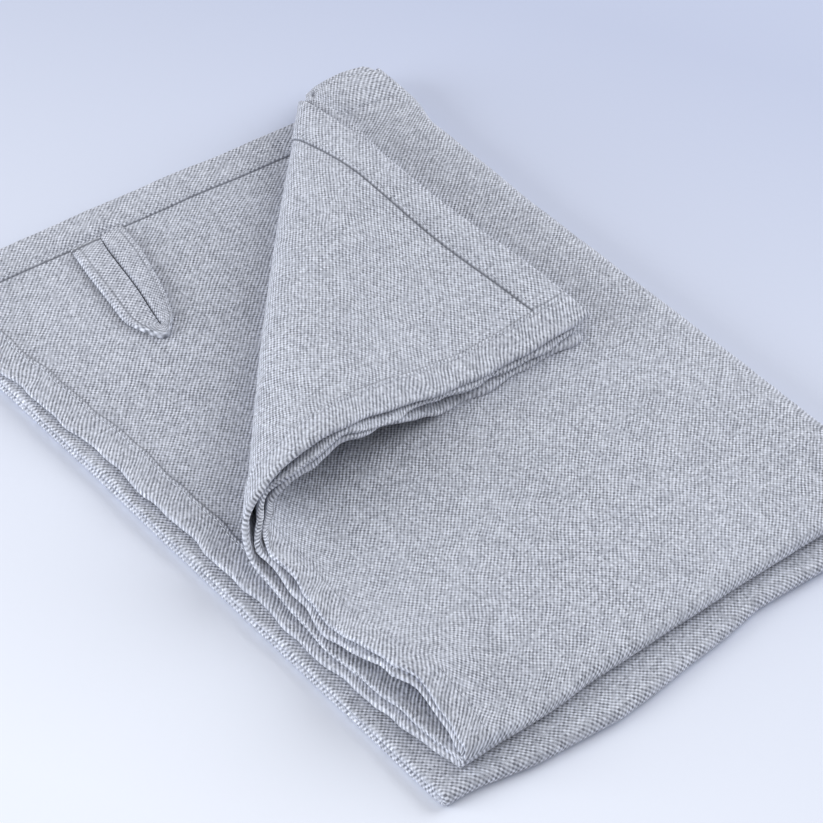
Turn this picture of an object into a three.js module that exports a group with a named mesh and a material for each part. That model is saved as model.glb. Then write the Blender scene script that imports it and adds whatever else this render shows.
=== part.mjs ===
// Linen hand towel, folded in eight with one corner turned back, and its hanging loop.
// Millimetres, +Z up. X runs along the folded packet's long side, Y along its short side.
import * as THREE from "three";

// ---- The cloth spread out ----
const TOWEL_WIDTH = 500;
const TOWEL_LENGTH = 700;
const SHEET = 1.0;
const WIDE_HEM = 13.6;
const NARROW_HEM = 10;

// ---- The folded packet ----
const GAP = 0.3;
const PITCH = SHEET + GAP;
const ORIGIN_X = 125;
const ORIGIN_Y = 82;
const FRONT_OVERHANG = 4.9;
const UPPER_SLIDE = 8;

// Heights of the three fold axes: after one, two and four layers.
const FIRST_AXIS = PITCH - GAP / 2;
const SECOND_AXIS = 2 * PITCH - GAP / 2;
const THIRD_AXIS = 4 * PITCH - GAP / 2;
const FIRST_RADIUS = FIRST_AXIS - SHEET / 2;
const SECOND_RADIUS = SECOND_AXIS - SHEET / 2;
const THIRD_RADIUS = THIRD_AXIS - SHEET / 2;

// Where each fold starts along its own direction.
const FIRST_START = Math.PI * FIRST_RADIUS / 2;
const SECOND_START = (TOWEL_WIDTH - Math.PI * SECOND_RADIUS) / 2;
const THIRD_START = (TOWEL_LENGTH / 2 - Math.PI * THIRD_RADIUS + FRONT_OVERHANG) / 2;

// Middles of the upper layers that the edge tables speak of, and the face the roll starts from.
const LOWER_TOP = 4 * PITCH - GAP;
const FOURTH_MIDDLE = 4 * PITCH + SHEET / 2;
const ROLL_FACE = 5 * PITCH;

// How far the edges along the front and back stand off their nominal lines, mm in Y. The upper
// layers are counted from the top.
const FRONT_BACK = [
  { x: 0, lower: 0.5, fourth: -3.0, third: -2.6, second: -3.5, top: -4.5, back: 8.5 },
  { x: 16, lower: 0.5, fourth: -3.0, third: -2.6, second: -3.2, top: -3.8, back: 7.6 },
  { x: 36, lower: 0.5, fourth: -3.0, third: -2.6, second: -2.9, top: -3.2, back: 3.0 },
  { x: 60, lower: 0.5, fourth: -2.6, third: -2.6, second: -2.2, top: -1.8, back: 1.7 },
  { x: 91, lower: 0.3, fourth: -1.0, third: -2.4, second: -1.2, top: 0.0, back: 0.2 },
  { x: 135, lower: -0.4, fourth: -1.6, third: -0.6, second: 0.9, top: 2.4, back: -1.4 },
  { x: 180, lower: -1.0, fourth: -2.6, third: 0.4, second: 2.9, top: 4.0, back: -2.6 },
  { x: 194, lower: -1.2, fourth: -2.5, third: -0.2, second: 0.8, top: 2.4, back: -3.3 },
  { x: 206, lower: -1.4, fourth: -2.4, third: 0.2, second: 1.6, top: 2.6, back: -4.0 },
  { x: 216, lower: -1.5, fourth: -1.9, third: 0.4, second: 3.2, top: 4.6, back: -4.5 },
  { x: 227, lower: -1.7, fourth: -1.0, third: 0.9, second: 5.0, top: 6.0, back: -5.0 },
  { x: 238, lower: -1.9, fourth: 0.2, third: 1.6, second: 5.0, top: 5.8, back: -5.6 },
  { x: 247, lower: -2.0, fourth: 1.6, third: 2.2, second: 2.8, top: 3.8, back: -6.0 },
];

const UPPER_LAYERS = ["fourth", "third", "second", "top"];

// The same for the edges at the left and right, mm in X.
const LEFT_RIGHT = [
  { y: 0, lower: 0, fourth: -2.0, third: 2.9, second: 9.5, top: 8.0, rightLower: -1.3, rightUpper: 2.8 },
  { y: 29, lower: 0, fourth: -2.0, third: 2.9, second: 6.0, top: 6.5, rightLower: 3.0, rightUpper: 2.5 },
  { y: 52, lower: 0, fourth: -1.2, third: 2.9, second: 3.5, top: 5.2, rightLower: 4.5, rightUpper: 1.2 },
  { y: 84, lower: 0, fourth: 0.0, third: 2.9, second: 0.5, top: 2.0, rightLower: 1.4, rightUpper: 0.3 },
  { y: 110, lower: 0, fourth: 1.6, third: 2.9, second: -1.6, top: -1.0, rightLower: -2.2, rightUpper: -0.3 },
  { y: 139, lower: 0, fourth: 3.0, third: 2.0, second: 0.5, top: 0.0, rightLower: -1.2, rightUpper: -0.3 },
  { y: 165, lower: 0, fourth: 0.0, third: 0.5, second: 2.0, top: 4.0, rightLower: -0.6, rightUpper: -0.4 },
];

// The upper hems along the front are loose and stand thicker than the cloth.
const HEM_LOFT = 0.45;
const LOFT_FADE = 28;
const LOFT_FROM = 85;
const LOFT_FULL = 120;

// Openings between layers: everything above the named height lifts, most at x, y.
const LIFTS = [
  { above: ROLL_FACE + SHEET, x: 221, y: -2, rise: 6.0, reachX: 27, reachY: 42 },
  { above: ROLL_FACE + SHEET + PITCH, x: 208, y: -4, rise: 1.6, reachX: 15, reachY: 24 },
];

// The turned-back corner: three layers roll over an axis at 45 degrees. Each row is one bend of
// the roll, at its left end and at its front end; a turn below zero bends back down.
const ROLL = [
  { leftLength: 10.3, leftTurn: 24.5, frontLength: 22.8, frontTurn: 18.8, cuts: 2 },
  { leftLength: 15.7, leftTurn: 138.9, frontLength: 15.8, frontTurn: 111.0, cuts: 6 },
  { leftLength: 20.4, leftTurn: 25.8, frontLength: 41.4, frontTurn: 82.2, cuts: 4 },
  { leftLength: 29.2, leftTurn: -11.1, frontLength: 50.5, frontTurn: -7.2, cuts: 2 },
];
const ROLL_LEFT_AT = -104;
const ROLL_FRONT_AT = 124;
const ROLL_SPAN = ROLL_FRONT_AT - ROLL_LEFT_AT;
const ROLL_START_LEFT = 116.5;
const ROLL_START_FRONT = 143.4;
const FLAP_CUTS = 3;

// The back left corner bulges out.
const BULGE = { x: -2, y: 163, push: -6, reach: 24, fullHeight: 8 };

// How finely the cloth is cut.
const FOLD_CUTS = { first: 5, second: 6, third: 8 };
const POCKET_FROM = 186;
const X_CUTS = 6;
const POCKET_CUTS = 4;
const Y_CUTS = X_CUTS + POCKET_CUTS;
const LAST_CUT = 10;
const LOWER_CUTS = 5;
const DIAGONAL_SHARES = [0, 0.07, 0.17, 0.28, 0.39, 0.5, 0.6, 0.7, 0.79, 0.87, 0.94, 1];

// ---- The hanging loop ----
// A tape folded to a point, its two legs side by side. Each row is a section across it.
const LOOP_THICKNESS = 1.6;
const LOOP_ARCH = 1.2;
const LOOP_SECTIONS = [
  { x: 13.6, near: 45.0, slitNear: 55.6, slitFar: 56.4, far: 64.5 },
  { x: 20, near: 43.4, slitNear: 53.4, slitFar: 54.2, far: 63.0 },
  { x: 28, near: 41.6, slitNear: 51.6, slitFar: 52.6, far: 61.4 },
  { x: 36, near: 40.2, slitNear: 50.2, slitFar: 51.2, far: 59.0 },
  { x: 44, near: 38.8, slitNear: 48.6, slitFar: 49.4, far: 56.6 },
  { x: 52, near: 37.6, slitNear: 46.8, slitFar: 47.4, far: 53.8 },
];
const LOOP_TIP = [
  { x: 58, y: 51.0 },
  { x: 61, y: 48.8 },
  { x: 64.4, y: 45.0 },
  { x: 65.2, y: 42.4 },
  { x: 63.8, y: 39.6 },
  { x: 60, y: 37.8 },
];

const smooth = (share) => share * share * (3 - 2 * share);
const clamp = (value, low, high) => Math.min(Math.max(value, low), high);
const mix = (from, to, share) => from + (to - from) * share;

// A value read from a table's column, eased from row to row.
function read(rows, place, column, at) {
  const last = rows.length - 1;
  if (at <= rows[0][place]) return rows[0][column];
  if (at >= rows[last][place]) return rows[last][column];
  let i = 0;
  while (at > rows[i + 1][place]) i += 1;
  const share = (at - rows[i][place]) / (rows[i + 1][place] - rows[i][place]);
  return mix(rows[i][column], rows[i + 1][column], smooth(share));
}

// Wraps everything past the start line over an axis at the given height.
function bend(along, z, start, axis, radius) {
  const past = along - start;
  if (past <= 0) return [along, z];
  const angle = past / radius;
  if (angle >= Math.PI) return [start - (past - Math.PI * radius), 2 * axis - z];
  return [start + (axis - z) * Math.sin(angle), axis - (axis - z) * Math.cos(angle)];
}

// The three main folds, from the towel spread out to the packet of eight layers.
function foldInEight(u, v, w) {
  let x = TOWEL_WIDTH - u;
  let y = TOWEL_LENGTH / 2 - v;
  let z = SHEET / 2 + w;
  [y, z] = bend(-y, z, -FIRST_START, FIRST_AXIS, FIRST_RADIUS);
  y = -y;
  [x, z] = bend(x, z, SECOND_START, SECOND_AXIS, SECOND_RADIUS);
  const turned = clamp((y - THIRD_START) / (Math.PI * THIRD_RADIUS), 0, 1);
  x += UPPER_SLIDE * (1 - turned);
  [y, z] = bend(y, z, THIRD_START, THIRD_AXIS, THIRD_RADIUS);
  return [x, y - FRONT_OVERHANG, z];
}

// A level's value at height z, from the values at the lower layers and at each upper layer.
function atLevel(z, lower, upper) {
  if (z < FOURTH_MIDDLE) {
    return mix(lower, upper[0], smooth(clamp((z - LOWER_TOP) / (FOURTH_MIDDLE - LOWER_TOP), 0, 1)));
  }
  const above = (z - FOURTH_MIDDLE) / PITCH;
  const i = Math.min(Math.floor(above), upper.length - 2);
  return mix(upper[i], upper[i + 1], above - i);
}

// Edges that don't lie quite true.
function unevenEdges([x, y, z]) {
  const width = SECOND_START + SECOND_AXIS;
  const depth = THIRD_START + THIRD_AXIS - FRONT_OVERHANG;
  const front = (level) => read(FRONT_BACK, "x", level, x);
  const left = (level) => read(LEFT_RIGHT, "y", level, y);
  const acrossX = clamp(x / width, 0, 1);
  const acrossY = clamp(y / depth, 0, 1);
  const frontOff = atLevel(z, front("lower"), UPPER_LAYERS.map(front));
  const leftOff = atLevel(z, left("lower"), UPPER_LAYERS.map(left));
  const rightOff = atLevel(z, left("rightLower"), UPPER_LAYERS.map(() => left("rightUpper")));
  return [x + mix(leftOff, rightOff, acrossX), y + mix(frontOff, front("back"), acrossY), z];
}

// Thickening of the loose hems at a point of the packet.
function loft(x, y) {
  const along = smooth(clamp((x - LOFT_FROM) / (LOFT_FULL - LOFT_FROM), 0, 1));
  const across = 1 - smooth(clamp((y - NARROW_HEM) / (LOFT_FADE - NARROW_HEM), 0, 1));
  return 1 + HEM_LOFT * along * across;
}

function lifted(x, y, z) {
  let rise = 0;
  for (const row of LIFTS) {
    const off = Math.hypot((x - row.x) / row.reachX, (y - row.y) / row.reachY);
    const share = clamp((z - row.above) / GAP, 0, 1);
    if (off < 1) rise += row.rise * share * (1 - off * off) ** 2;
  }
  return z + rise;
}

// Share of the way from the roll's left end to its front end, growing towards the front.
const rollShare = (f) => Math.max((f - ROLL_LEFT_AT) / ROLL_SPAN, 0) ** 2;

// Rolls the three top layers over at the corner.
function turnBack(x, y, z, face) {
  const e = (x + y) / Math.SQRT2;
  const f = (x - y) / Math.SQRT2;
  const share = rollShare(f);
  const start = mix(ROLL_START_LEFT, ROLL_START_FRONT, share);
  let left = start - e;
  if (z < face - GAP / 2 || left <= 0) return [x, y, z];
  let angle = 0;
  let along = 0;
  let up = 0;
  for (const row of ROLL) {
    const length = mix(row.leftLength, row.frontLength, share);
    const radius = length / THREE.MathUtils.degToRad(mix(row.leftTurn, row.frontTurn, share));
    const next = angle + clamp(left, 0, length) / radius;
    along -= radius * (Math.sin(next) - Math.sin(angle));
    up -= radius * (Math.cos(next) - Math.cos(angle));
    angle = next;
    left = Math.max(left - length, 0);
  }
  along += (z - face) * Math.sin(angle) - left * Math.cos(angle);
  up += (z - face) * Math.cos(angle) + left * Math.sin(angle);
  return [(start + along + f) / Math.SQRT2, (start + along - f) / Math.SQRT2, face + up];
}

function bulge([x, y, z]) {
  const off = Math.min(Math.hypot(x - BULGE.x, y - BULGE.y) / BULGE.reach, 1);
  return [x + BULGE.push * (1 - off * off) ** 2 * clamp(z / BULGE.fullHeight, 0, 1), y, z];
}

// A point of the cloth: u from the loop's long edge, v from the front short edge, w through it.
function clothPoint(u, v, w) {
  const [x, y, z] = unevenEdges(foldInEight(u, v, w));
  const thicker = loft(x, y);
  const high = z > LOWER_TOP ? LOWER_TOP + (z - LOWER_TOP) * thicker : z;
  const level = LOWER_TOP + (ROLL_FACE - LOWER_TOP) * thicker;
  const raised = z > ROLL_FACE ? high + lifted(x, y, z) - z : high;
  const [px, py, pz] = bulge(turnBack(x, y, raised, level));
  return [px - ORIGIN_X, py - ORIGIN_Y, pz];
}

// ---- Cutting the cloth into triangles ----
const steps = (from, to, count) => Array.from({ length: count }, (_, i) => mix(from, to, (i + 1) / count));

const PANEL_X = [0, WIDE_HEM, ...steps(WIDE_HEM, POCKET_FROM, X_CUTS), ...steps(POCKET_FROM, SECOND_START, POCKET_CUTS)];
const UPPER_DEPTH = TOWEL_LENGTH / 2 - THIRD_START - Math.PI * THIRD_RADIUS;
const PANEL_Y = [0, NARROW_HEM, ...steps(NARROW_HEM, UPPER_DEPTH - LAST_CUT, Y_CUTS - 1), UPPER_DEPTH];

function linesAcross() {
  const lines = [...PANEL_X, ...steps(SECOND_START, TOWEL_WIDTH - SECOND_START, FOLD_CUTS.second)];
  return [...lines, ...PANEL_X.slice(0, -1).reverse().map((x) => TOWEL_WIDTH - x)];
}

function linesAlong() {
  const half = TOWEL_LENGTH / 2;
  const lines = [...PANEL_Y, ...steps(UPPER_DEPTH, half - THIRD_START, FOLD_CUTS.third)];
  lines.push(...steps(half - THIRD_START, half - FIRST_START, LOWER_CUTS));
  const mirrored = [...lines].reverse().map((v) => TOWEL_LENGTH - v);
  return [...lines, ...steps(half - FIRST_START, half + FIRST_START, FOLD_CUTS.first).slice(0, -1), ...mirrored];
}

// Collects flat triangles of the cloth, turned to face the same way.
class Cutting {
  constructor() {
    this.points = [];
    this.index = new Map();
    this.triangles = [];
  }

  point(u, v) {
    const key = `${u.toFixed(3)},${v.toFixed(3)}`;
    if (!this.index.has(key)) {
      this.index.set(key, this.points.length);
      this.points.push([u, v]);
    }
    return this.index.get(key);
  }

  triangle(p, q, r) {
    const [a, b, c] = [this.point(...p), this.point(...q), this.point(...r)];
    if (a === b || b === c || c === a) return;
    const area = (q[0] - p[0]) * (r[1] - p[1]) - (r[0] - p[0]) * (q[1] - p[1]);
    this.triangles.push(area > 0 ? [a, b, c] : [a, c, b]);
  }

  quad(p, q, r, s) {
    this.triangle(p, q, r);
    this.triangle(p, r, s);
  }
}

// The three panels that the roll crosses, as ways from packet x, y to the cloth's u, v.
const ROLLED_PANELS = [
  (x, y) => [x, TOWEL_LENGTH - y],
  (x, y) => [TOWEL_WIDTH - x, TOWEL_LENGTH - y],
  (x, y) => [TOWEL_WIDTH - x, y],
];

// The line across the corner where the roll has taken up the given lengths: points of x and y,
// from the long edge to the front edge.
function rollLine(leftTaken, frontTaken) {
  const from = ROLL_START_LEFT - leftTaken;
  const growth = ROLL_START_FRONT - frontTaken - from;
  const left = ROLL_LEFT_AT + from;
  const front = from - ROLL_LEFT_AT;
  const toLeft = 2 * left / (ROLL_SPAN + Math.sqrt(ROLL_SPAN ** 2 - 4 * growth * left));
  const toFront = 2 * front / (ROLL_SPAN + Math.sqrt(ROLL_SPAN ** 2 - 4 * growth * front));
  const first = left > 0 ? -from : ROLL_LEFT_AT - toLeft * ROLL_SPAN;
  const last = ROLL_LEFT_AT + toFront * ROLL_SPAN;
  return DIAGONAL_SHARES.map((share) => {
    const f = mix(first, last, share);
    const e = from + growth * rollShare(f);
    return [share === 0 ? 0 : (e + f) / Math.SQRT2, share === 1 ? 0 : (e - f) / Math.SQRT2];
  });
}

// Lines across the corner, from the roll's start to its tip.
function rollLines() {
  const lines = [rollLine(0, 0)];
  let left = 0;
  let front = 0;
  for (const row of ROLL) {
    for (const share of steps(0, 1, row.cuts)) {
      lines.push(rollLine(left + row.leftLength * share, front + row.frontLength * share));
    }
    left += row.leftLength;
    front += row.frontLength;
  }
  const last = lines[lines.length - 1];
  for (const share of steps(1, 0, FLAP_CUTS)) lines.push(last.map(([x, y]) => [x * share, y * share]));
  return lines;
}

function cutRolledPanel(cutting, place) {
  const count = PANEL_X.length - 1;
  let before = PANEL_X.map((x, i) => [x, PANEL_Y[count - i]]);
  for (const next of rollLines()) {
    for (let i = 0; i < count; i += 1) {
      cutting.quad(place(...before[i]), place(...before[i + 1]), place(...next[i + 1]), place(...next[i]));
    }
    before = next;
  }
  for (let i = 0; i < count; i += 1) {
    for (let j = count - 1 - i; j < count; j += 1) {
      const corners = [[i, j], [i + 1, j], [i + 1, j + 1], [i, j + 1]].map(([a, b]) => place(PANEL_X[a], PANEL_Y[b]));
      if (i + j === count - 1) cutting.triangle(corners[1], corners[2], corners[3]);
      else cutting.quad(...corners);
    }
  }
}

function cutCloth() {
  const cutting = new Cutting();
  const across = linesAcross();
  const along = linesAlong();
  const panel = PANEL_X.length - 1;
  for (let i = 0; i + 1 < across.length; i += 1) {
    for (let j = 0; j + 1 < along.length; j += 1) {
      const nearSide = i < panel;
      const farSide = i >= across.length - 1 - panel;
      const nearEnd = j < panel;
      const farEnd = j >= along.length - 1 - panel;
      if ((nearSide && farEnd) || (farSide && (nearEnd || farEnd))) continue;
      const [u, un, v, vn] = [across[i], across[i + 1], along[j], along[j + 1]];
      cutting.quad([u, v], [un, v], [un, vn], [u, vn]);
    }
  }
  for (const place of ROLLED_PANELS) cutRolledPanel(cutting, place);
  return cutting;
}

// Both faces of the cloth and the rim between them.
function clothGeometry() {
  const { points, triangles } = cutCloth();
  const count = points.length;
  const faces = [];
  const rim = new Map();
  for (const [a, b, c] of triangles) {
    faces.push(a, b, c, a + count, c + count, b + count);
    for (const [from, to] of [[a, b], [b, c], [c, a]]) {
      if (rim.has(`${to},${from}`)) rim.delete(`${to},${from}`);
      else rim.set(`${from},${to}`, [from, to]);
    }
  }
  for (const [from, to] of rim.values()) {
    faces.push(to, from, from + count, to, from + count, to + count);
  }
  const upper = points.flatMap(([u, v]) => clothPoint(u, v, SHEET / 2));
  const lower = points.flatMap(([u, v]) => clothPoint(u, v, -SHEET / 2));
  const geometry = new THREE.BufferGeometry();
  geometry.setAttribute("position", new THREE.Float32BufferAttribute([...upper, ...lower], 3));
  geometry.setIndex(faces);
  geometry.computeVertexNormals();
  return geometry;
}

// The loop's outline, out along the near edge, round the tip, back, and along the slit.
function loopGeometry() {
  const back = [...LOOP_SECTIONS].reverse();
  const outline = [
    ...LOOP_SECTIONS.map((row) => [row.x, row.near]),
    ...[...LOOP_TIP].reverse().map((row) => [row.x, row.y]),
    ...back.map((row) => [row.x, row.far]),
    ...LOOP_SECTIONS.map((row) => [row.x, row.slitFar]),
    ...back.map((row) => [row.x, row.slitNear]),
  ];
  const shape = new THREE.Shape(outline.map(([x, y]) => new THREE.Vector2(x, y)));
  const geometry = new THREE.ExtrudeGeometry(shape, { depth: LOOP_THICKNESS, bevelEnabled: false });
  const base = LOOP_SECTIONS[0].x;
  const length = LOOP_TIP[3].x - base;
  const place = geometry.attributes.position;
  for (let i = 0; i < place.count; i += 1) {
    const share = clamp((place.getX(i) - base) / length, 0, 1);
    const rise = LOOP_ARCH * Math.sin(Math.PI * share);
    place.setXYZ(i, place.getX(i) - ORIGIN_X, place.getY(i) - ORIGIN_Y, place.getZ(i) + ROLL_FACE + rise);
  }
  geometry.computeVertexNormals();
  return geometry;
}

function piece(name, geometry, material) {
  const mesh = new THREE.Mesh(geometry, material);
  mesh.name = name;
  return mesh;
}

const linen = new THREE.MeshStandardMaterial({ name: "linen", color: 0xb9b8b6, roughness: 0.95, side: THREE.DoubleSide });
const tape = new THREE.MeshStandardMaterial({ name: "tape", color: 0xb4b3b1, roughness: 0.95 });

const towel = new THREE.Group();
towel.name = "folded_hand_towel";
towel.add(piece("hand_towel", clothGeometry(), linen));
towel.add(piece("hanging_loop", loopGeometry(), tape));

export default towel;
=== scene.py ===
"""Dresses the folded linen hand towel: woven cloth with sewn hems, the hanging loop and the stage."""
import math
import bpy
import numpy as np
from bpy.props import FloatProperty, FloatVectorProperty, PointerProperty
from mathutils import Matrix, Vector


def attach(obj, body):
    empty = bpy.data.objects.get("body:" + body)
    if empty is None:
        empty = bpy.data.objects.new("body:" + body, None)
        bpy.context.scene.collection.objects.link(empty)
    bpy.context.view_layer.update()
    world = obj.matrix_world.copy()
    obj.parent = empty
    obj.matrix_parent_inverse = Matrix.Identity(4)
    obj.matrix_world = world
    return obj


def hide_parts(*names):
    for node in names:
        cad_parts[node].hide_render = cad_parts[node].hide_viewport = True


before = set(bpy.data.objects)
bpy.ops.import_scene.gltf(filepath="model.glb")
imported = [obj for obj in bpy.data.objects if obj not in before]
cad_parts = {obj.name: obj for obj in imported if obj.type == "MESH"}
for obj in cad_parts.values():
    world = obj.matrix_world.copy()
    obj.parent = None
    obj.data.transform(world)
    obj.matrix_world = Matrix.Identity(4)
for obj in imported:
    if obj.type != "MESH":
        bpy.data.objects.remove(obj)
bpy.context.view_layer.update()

bl_info = {
    "name": "Folded linen hand towel",
    "version": (1, 0, 0),
    "blender": (4, 5, 0),
    "location": "View3D > Sidebar > Towel",
    "description": "Folds, hems, stitches and weaves a linen hand towel with a hanging loop",
    "category": "Add Mesh",
}

MM = 0.001
BODY = "root"

# ---- The cloth spread out, mm ----
TOWEL_WIDTH = 500.0
TOWEL_LENGTH = 700.0
WIDE_HEM = 13.6
NARROW_HEM = 10.0

# ---- The folded packet, mm ----
SHEET = 1.0
GAP = 0.3
PITCH = SHEET + GAP

# The packet's front left corner is this far from the frame's origin. The lower half stands out
# at the front by the overhang, and the upper half lies further left by the slide.
ORIGIN = (125.0, 82.0)
FRONT_OVERHANG = 4.9
UPPER_SLIDE = 8.0

# Fold axes after one, two and four layers, their radii, and where each fold starts.
FIRST_AXIS = PITCH - GAP / 2
SECOND_AXIS = 2 * PITCH - GAP / 2
THIRD_AXIS = 4 * PITCH - GAP / 2
FIRST_RADIUS = FIRST_AXIS - SHEET / 2
SECOND_RADIUS = SECOND_AXIS - SHEET / 2
THIRD_RADIUS = THIRD_AXIS - SHEET / 2
FIRST_START = math.pi * FIRST_RADIUS / 2
SECOND_START = (TOWEL_WIDTH - math.pi * SECOND_RADIUS) / 2
THIRD_START = (TOWEL_LENGTH / 2 - math.pi * THIRD_RADIUS + FRONT_OVERHANG) / 2
UPPER_DEPTH = TOWEL_LENGTH / 2 - THIRD_START - math.pi * THIRD_RADIUS

# Heights of the lower half's top, the fourth layer's middle, and the face that the roll turns on.
LOWER_TOP = 4 * PITCH - GAP
FOURTH_MIDDLE = 4 * PITCH + SHEET / 2
ROLL_FACE = 5 * PITCH

# How far the front and back edges stand off their true lines, in mm; outwards is negative at
# the front. Columns: place, lower layers, fourth layer from the top, third, second, top, and
# the back fold.
FRONT_BACK = np.array([
    (0, 0.5, -3.0, -2.6, -3.5, -4.5, 8.5),
    (16, 0.5, -3.0, -2.6, -3.2, -3.8, 7.6),
    (36, 0.5, -3.0, -2.6, -2.9, -3.2, 3.0),
    (60, 0.5, -2.6, -2.4, -2.6, -3.2, 1.7),
    (91, 0.3, -1.0, -0.8, -3.2, -3.2, 0.2),
    (112, 0.0, -1.3, -1.4, -2.4, -1.8, -0.6),
    (135, -0.4, -1.6, -0.6, 0.9, 2.4, -1.4),
    (180, -1.0, -2.6, 0.4, 2.9, 4.0, -2.6),
    (194, -1.2, -2.5, -0.2, 0.8, 2.4, -3.3),
    (206, -1.4, -2.4, 0.2, 1.6, 2.6, -4.0),
    (216, -1.5, -1.9, 0.4, 3.2, 4.6, -4.5),
    (227, -1.7, -1.0, 0.9, 5.0, 6.0, -5.0),
    (238, -1.9, 0.2, 1.6, 5.0, 5.8, -5.6),
    (247, -2.0, 1.6, 2.2, 2.8, 3.8, -6.0),
])

# The same for the left and right edges; outwards is negative at the left. Columns: place,
# fourth layer's left edge, third, second, top, and the right folds of the lower and upper layers.
LEFT_RIGHT = np.array([
    (0, -2.0, 2.9, 9.5, 8.0, -1.3, 2.8),
    (29, -2.0, 2.9, 6.0, 6.5, 3.0, 2.5),
    (52, -1.2, 2.9, 3.5, 5.2, 4.5, 1.2),
    (84, 0.0, 2.9, 0.5, 2.0, 1.4, 0.3),
    (110, 1.6, 2.9, -1.6, -1.0, -2.2, -0.3),
    (139, 3.0, 2.0, -0.5, 1.6, -1.2, -0.3),
    (165, 0.0, 0.5, -1.0, 4.0, -0.6, -0.4),
])

# Loose upper hems stand thicker than the cloth: how much, how far back, and where it starts.
HEM_LOFT = 0.45
FLAP_LOFT = 0.4
LOFT_FADE = 28.0
LOFT_FROM, LOFT_FULL = 85.0, 120.0
FLAP_FADE = 30.0
FLAP_HEM_FADE = 14.0

# Openings between layers: the gap's number counted from below, x, y, rise, and reach in x and y.
POCKETS = (
    (6, 221.0, -2.0, 6.0, 27.0, 42.0),
    (7, 208.0, -4.0, 1.6, 15.0, 24.0),
)

# The roll: length in mm and turn in degrees of each bend at its left end, then at its front end.
ROLL = (
    (10.3, 24.5, 22.8, 18.8),
    (15.7, 138.9, 15.8, 111.0),
    (20.4, 25.8, 41.4, 82.2),
    (29.2, -11.1, 50.5, -7.2),
)

# Where the roll ends across the corner, and how far from the corner it starts at each end.
ROLL_ENDS = (-104.0, 124.0)
ROLL_STARTS = (116.5, 143.4)

# The back left corner's bulge: x, y, push, reach, and the height where it's full.
BULGE = (-2.0, 163.0, -6.0, 24.0, 8.0)

# The hanging loop's sections: x, near edge, near and far side of the slit, far edge.
LOOP_SECTIONS = np.array([
    (12.9, 45.0, 55.95, 56.05, 64.5),
    (20, 43.4, 53.7, 53.85, 63.0),
    (28, 41.6, 52.0, 52.2, 61.4),
    (36, 40.2, 50.5, 50.7, 59.0),
    (44, 38.8, 48.9, 49.1, 56.6),
    (52, 37.6, 47.0, 47.15, 53.8),
])
LOOP_TIP = np.array([
    (56.5, 38.6), (61.5, 40.4), (64.8, 42.2), (65.2, 44.6), (61, 48.8), (58, 51.0),
])
SLIT_END = (60.2, 45.2)


def smooth(share):
    """A share from nought to one, eased at both ends."""
    share = np.clip(share, 0.0, 1.0)
    return share * share * (3 - 2 * share)


def mix(first, last, share):
    """The value at a share of the way from the first to the last."""
    return first + (last - first) * share


def read(rows, column, at):
    """A table's column at a place, eased from row to row."""
    places = rows[:, 0]
    i = np.clip(np.searchsorted(places, at, side="right") - 1, 0, len(places) - 2)
    share = smooth((at - places[i]) / (places[i + 1] - places[i]))
    return mix(rows[i, column], rows[i + 1, column], share)


def ripple(at, waves):
    """A sum of gentle waves: each is its length, phase and height."""
    return sum(height * np.sin(2 * math.pi * at / length + phase) for length, phase, height in waves)


def bend(along, z, start, axis, radius):
    """Wraps everything past the start line over an axis at the given height."""
    past = along - start
    angle = np.clip(past / radius, 0.0, math.pi)
    turned = start + (axis - z) * np.sin(angle) - np.maximum(past - math.pi * radius, 0.0)
    height = axis - (axis - z) * np.cos(angle)
    return np.where(past > 0, turned, along), np.where(past > 0, height, z)


def fold_in_eight(u, v, w):
    """The three main folds, from the towel spread out to the packet of eight layers."""
    x = TOWEL_WIDTH - u
    y = TOWEL_LENGTH / 2 - v
    z = SHEET / 2 + w
    y, z = bend(-y, z, -FIRST_START, FIRST_AXIS, FIRST_RADIUS)
    y = -y
    x, z = bend(x, z, SECOND_START, SECOND_AXIS, SECOND_RADIUS)
    turned = np.clip((y - THIRD_START) / (math.pi * THIRD_RADIUS), 0.0, 1.0)
    x = x + UPPER_SLIDE * (1 - turned)
    y, z = bend(y, z, THIRD_START, THIRD_AXIS, THIRD_RADIUS)
    return x, y - FRONT_OVERHANG, z


def at_level(z, lower, fourth, third, second, top):
    """The shift at a height, between those of the layers below and above it."""
    low = mix(lower, fourth, smooth((z - LOWER_TOP) / (FOURTH_MIDDLE - LOWER_TOP)))
    above = (z - FOURTH_MIDDLE) / PITCH
    shift = mix(fourth, third, np.clip(above, 0.0, 1.0))
    shift = mix(shift, second, np.clip(above - 1, 0.0, 1.0))
    shift = mix(shift, top, np.maximum(above - 2, 0.0))
    return np.where(z < FOURTH_MIDDLE, low, shift)


def uneven_edges(x, y, level):
    """Layers whose edges don't lie quite true, for cloth whose middle lies at the level."""
    across_x = np.clip(x / (SECOND_START + SECOND_AXIS), 0.0, 1.0)
    across_y = np.clip(y / (THIRD_START + THIRD_AXIS - FRONT_OVERHANG), 0.0, 1.0)
    front = at_level(level, *(read(FRONT_BACK, column, x) for column in (1, 2, 3, 4, 5)))
    left = at_level(level, 0.0, *(read(LEFT_RIGHT, column, y) for column in (1, 2, 3, 4)))
    right_upper = read(LEFT_RIGHT, 6, y)
    right = at_level(level, read(LEFT_RIGHT, 5, y), *[right_upper] * 4)
    return x + mix(left, right, across_x), y + mix(front, read(FRONT_BACK, 6, x), across_y)


def loft(x, y):
    """How much thicker than the cloth the upper packet stands at its loose front hems."""
    along = smooth((x - LOFT_FROM) / (LOFT_FULL - LOFT_FROM))
    across = 1 - smooth((y - NARROW_HEM) / (LOFT_FADE - NARROW_HEM))
    return 1 + HEM_LOFT * along * across


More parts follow.
